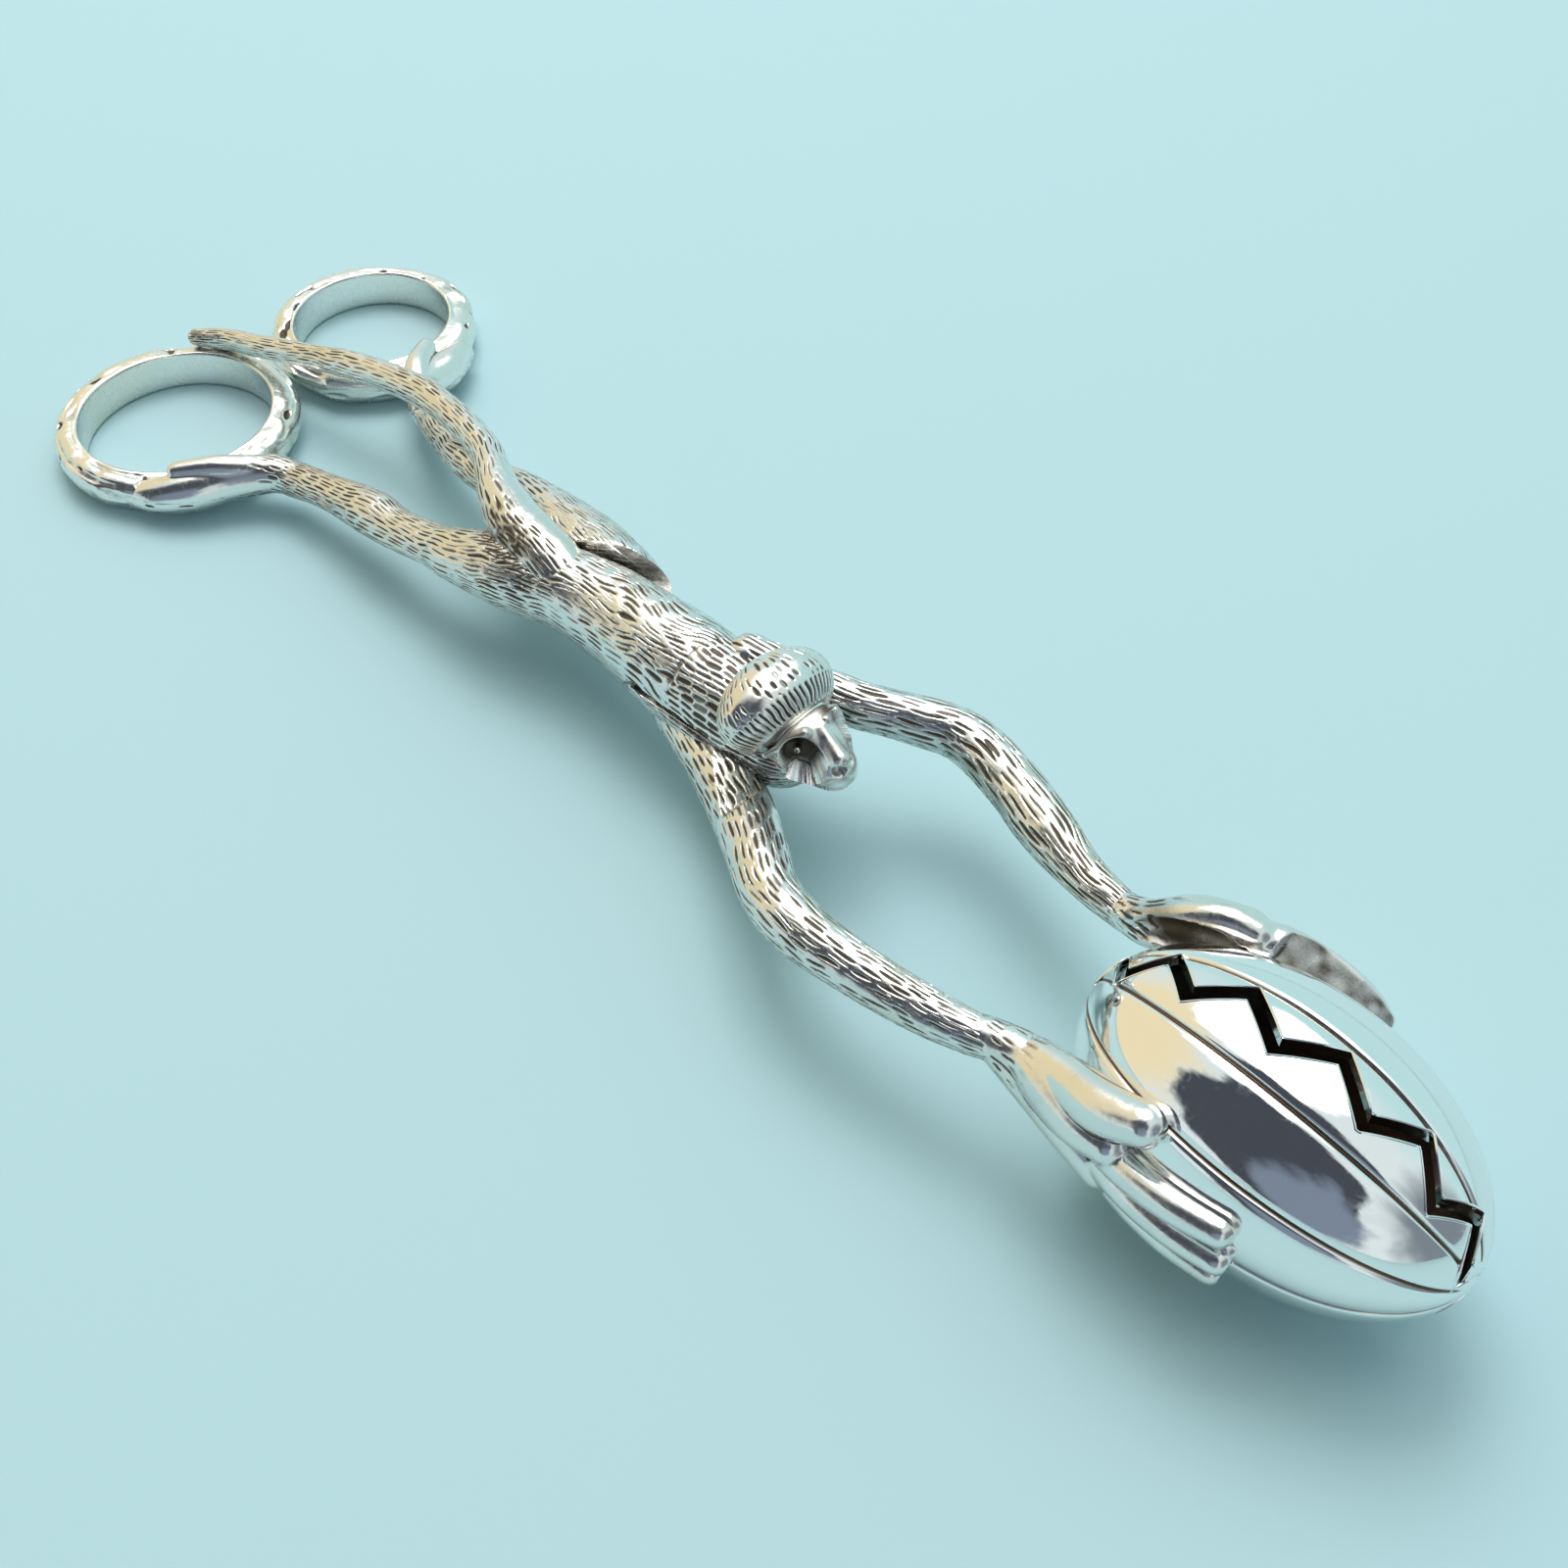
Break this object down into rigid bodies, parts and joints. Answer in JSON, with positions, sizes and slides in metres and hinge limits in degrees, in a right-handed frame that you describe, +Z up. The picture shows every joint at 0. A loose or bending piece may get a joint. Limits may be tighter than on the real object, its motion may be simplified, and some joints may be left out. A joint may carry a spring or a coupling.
{
  "type": "ice tongs",
  "caption": "Scissor-action ice tongs: finger rings, lapped figural levers with fur texture, and a hollow egg-shaped grip that splits along a zigzag mouth.",
  "frame": {"origin": "on the table, under the middle of the object's box, which is also under the pivot", "axes": "+X from the finger rings towards the gripping shell, +Z up off the table, along the pivot's axis"},
  "size_m": [0.2099, 0.0639, 0.0272],
  "materials": {
    "fur_silver": "silver plate with engraved fur strokes, oxidised dark in the cuts",
    "smooth_silver": "smooth cast silver plate, worn bright on the high places",
    "shell_silver": "mirror-polished silver plate with engraved lines",
    "ring_silver": "dented silver plate, like bark, oxidised in the hollows",
    "pivot_steel": "turned steel"
  },
  "bodies": {
    "upper_lever": {"torso_upper": "fur_silver", "head": "fur_silver", "tail": "fur_silver", "near_leg": "fur_silver", "near_foot": "smooth_silver", "near_finger_ring": "ring_silver", "far_arm": "fur_silver", "far_hand": "smooth_silver", "far_shell_half": "shell_silver", "pivot_screw": "pivot_steel", "pivot_washer": "pivot_steel"},
    "lower_lever": {"torso_lower": "fur_silver", "far_leg": "fur_silver", "far_foot": "smooth_silver", "far_finger_ring": "ring_silver", "near_arm": "fur_silver", "near_hand": "smooth_silver", "near_shell_half": "shell_silver"}
  },
  "joints": [
    {"name": "pivot", "type": "hinge", "parent": "upper_lever", "child": "lower_lever", "pos_m": [0, 0, 0.0125], "axis": [0, 0, -1], "range_deg": [0, 26]}
  ]
}
